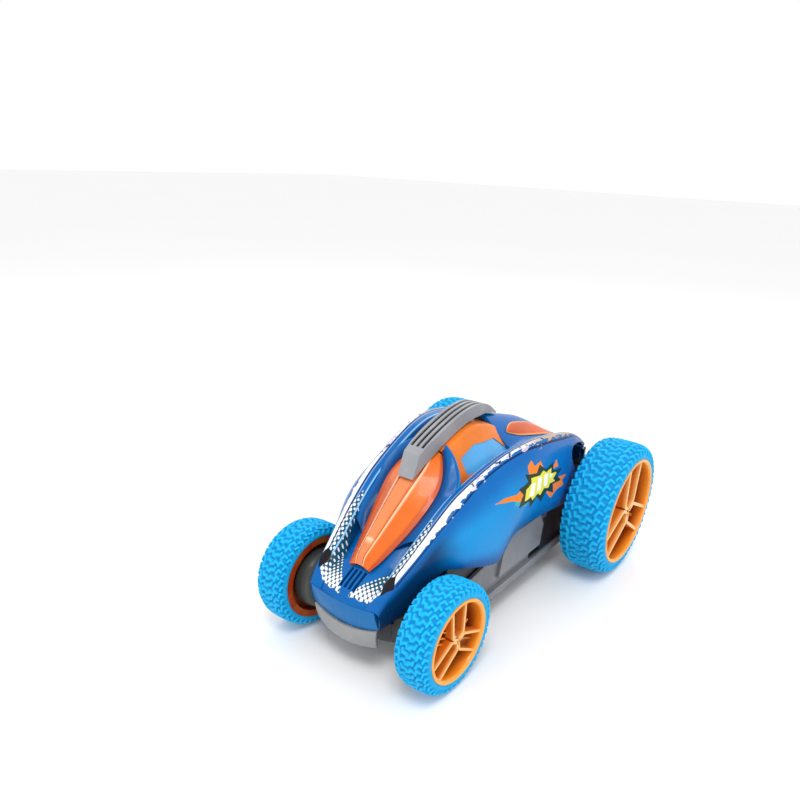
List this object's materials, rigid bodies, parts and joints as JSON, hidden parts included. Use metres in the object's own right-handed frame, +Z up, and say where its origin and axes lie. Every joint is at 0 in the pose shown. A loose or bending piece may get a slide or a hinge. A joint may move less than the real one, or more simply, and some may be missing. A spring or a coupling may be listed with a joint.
{
  "type": "radio controlled stunt car",
  "caption": "Toy radio controlled stunt car with large geared rear wheels, small free front wheels, and a ridged body shell with a canopy and an arched roof spine.",
  "frame": {"origin": "on the ground under the middle of the car's length and width", "axes": "+X forward to the nose, +Y to the car's left, +Z up"},
  "size_m": [0.2035, 0.133, 0.1019],
  "materials": {
    "shell_blue": "gloss moulded plastic with printed livery",
    "trim_orange": "gloss moulded plastic",
    "spine_grey": "satin moulded plastic",
    "window_blue": "gloss light blue plastic",
    "tub_navy": "satin moulded plastic",
    "bumper_grey": "satin moulded plastic",
    "chassis_grey": "fine textured plastic",
    "sill_grey": "satin moulded plastic",
    "black_plastic": "fine textured plastic",
    "rim_orange": "gloss moulded plastic",
    "tyre_cyan": "soft matt tyre compound",
    "gear_nylon": "natural nylon",
    "steel": "bright turned steel",
    "motor_can": "plated can",
    "bronze": "sintered bronze",
    "board_green": "solder mask over laminate",
    "cell_wrap": "shrink wrap",
    "contact_nickel": "nickel plate",
    "slider_white": "moulded plastic",
    "wire_red": "soft wire sheath"
  },
  "bodies": {
    "chassis": {"body_shell": "shell_blue", "hood_insert": "trim_orange", "hood_grille": "black_plastic", "roof_spine": "spine_grey", "canopy": "trim_orange", "canopy_windows": "window_blue", "cockpit_tub": "tub_navy", "deck_insert_l": "trim_orange", "deck_insert_r": "trim_orange", "front_bumper": "bumper_grey", "chassis_tray": "chassis_grey", "side_sill_l": "sill_grey", "side_sill_r": "sill_grey", "hub_carrier_l": "chassis_grey", "hub_carrier_r": "chassis_grey", "front_axle_pins": "steel", "front_wheel_screws": "steel", "gearbox_case_l": "black_plastic", "gearbox_case_r": "black_plastic", "gearbox_cover_l": "black_plastic", "gearbox_cover_r": "black_plastic", "motor_l": "motor_can", "motor_r": "motor_can", "gear_pins": "steel", "axle_bushes": "bronze", "motor_clamp": "chassis_grey", "circuit_board": "board_green", "battery_cells": "cell_wrap", "battery_contacts": "contact_nickel", "battery_door": "chassis_grey", "battery_door_screw": "steel", "switch_body": "black_plastic", "body_screws": "steel", "case_screws": "steel", "wiring": "wire_red"},
    "wheel_fl": {"front_rim_l": "rim_orange", "front_tyre_l": "tyre_cyan", "front_hub_cap_l": "rim_orange"},
    "wheel_fr": {"front_rim_r": "rim_orange", "front_tyre_r": "tyre_cyan", "front_hub_cap_r": "rim_orange"},
    "wheel_rl": {"rear_rim_l": "rim_orange", "rear_tyre_l": "tyre_cyan", "rear_axle_l": "steel", "final_gear_l": "gear_nylon", "rear_wheel_screw_l": "steel", "rear_hub_cap_l": "rim_orange"},
    "wheel_rr": {"rear_rim_r": "rim_orange", "rear_tyre_r": "tyre_cyan", "rear_axle_r": "steel", "final_gear_r": "gear_nylon", "rear_wheel_screw_r": "steel", "rear_hub_cap_r": "rim_orange"},
    "compound_l": {"compound_gear_l": "gear_nylon"},
    "pinion_l": {"motor_shaft_l": "steel", "motor_pinion_l": "gear_nylon"},
    "compound_r": {"compound_gear_r": "gear_nylon"},
    "pinion_r": {"motor_shaft_r": "steel", "motor_pinion_r": "gear_nylon"},
    "switch": {"switch_slider": "slider_white"}
  },
  "joints": [
    {"name": "front_wheel_l_spin", "type": "hinge", "parent": "chassis", "child": "wheel_fl", "pos_m": [0.07575, 0.04125, 0.026], "axis": [0, 1, 0], "continuous": true},
    {"name": "front_wheel_r_spin", "type": "hinge", "parent": "chassis", "child": "wheel_fr", "pos_m": [0.07575, -0.04125, 0.026], "axis": [0, 1, 0], "continuous": true},
    {"name": "rear_wheel_l_spin", "type": "hinge", "parent": "chassis", "child": "wheel_rl", "pos_m": [-0.06425, 0.0535, 0.0375], "axis": [0, 1, 0], "continuous": true},
    {"name": "rear_wheel_r_spin", "type": "hinge", "parent": "chassis", "child": "wheel_rr", "pos_m": [-0.06425, -0.0535, 0.0375], "axis": [0, 1, 0], "continuous": true},
    {"name": "compound_gear_l_spin", "type": "hinge", "parent": "chassis", "child": "compound_l", "pos_m": [-0.04524, 0.028, 0.03483], "axis": [0, 1, 0], "continuous": true},
    {"name": "motor_pinion_l_spin", "type": "hinge", "parent": "chassis", "child": "pinion_l", "pos_m": [-0.02646, 0.029, 0.03084], "axis": [0, 1, 0], "continuous": true},
    {"name": "compound_gear_r_spin", "type": "hinge", "parent": "chassis", "child": "compound_r", "pos_m": [-0.04524, -0.028, 0.03483], "axis": [0, 1, 0], "continuous": true},
    {"name": "motor_pinion_r_spin", "type": "hinge", "parent": "chassis", "child": "pinion_r", "pos_m": [-0.02646, -0.029, 0.03084], "axis": [0, 1, 0], "continuous": true},
    {"name": "power_switch_slide", "type": "slide", "parent": "chassis", "child": "switch", "axis": [1, 0, 0], "range_m": [0, 0.003]}
  ],
  "couplings": [
    {"joint": "compound_gear_l_spin", "follows": "rear_wheel_l_spin", "ratio": -3},
    {"joint": "motor_pinion_l_spin", "follows": "rear_wheel_l_spin", "ratio": 11.4},
    {"joint": "compound_gear_r_spin", "follows": "rear_wheel_r_spin", "ratio": -3},
    {"joint": "motor_pinion_r_spin", "follows": "rear_wheel_r_spin", "ratio": 11.4}
  ]
}
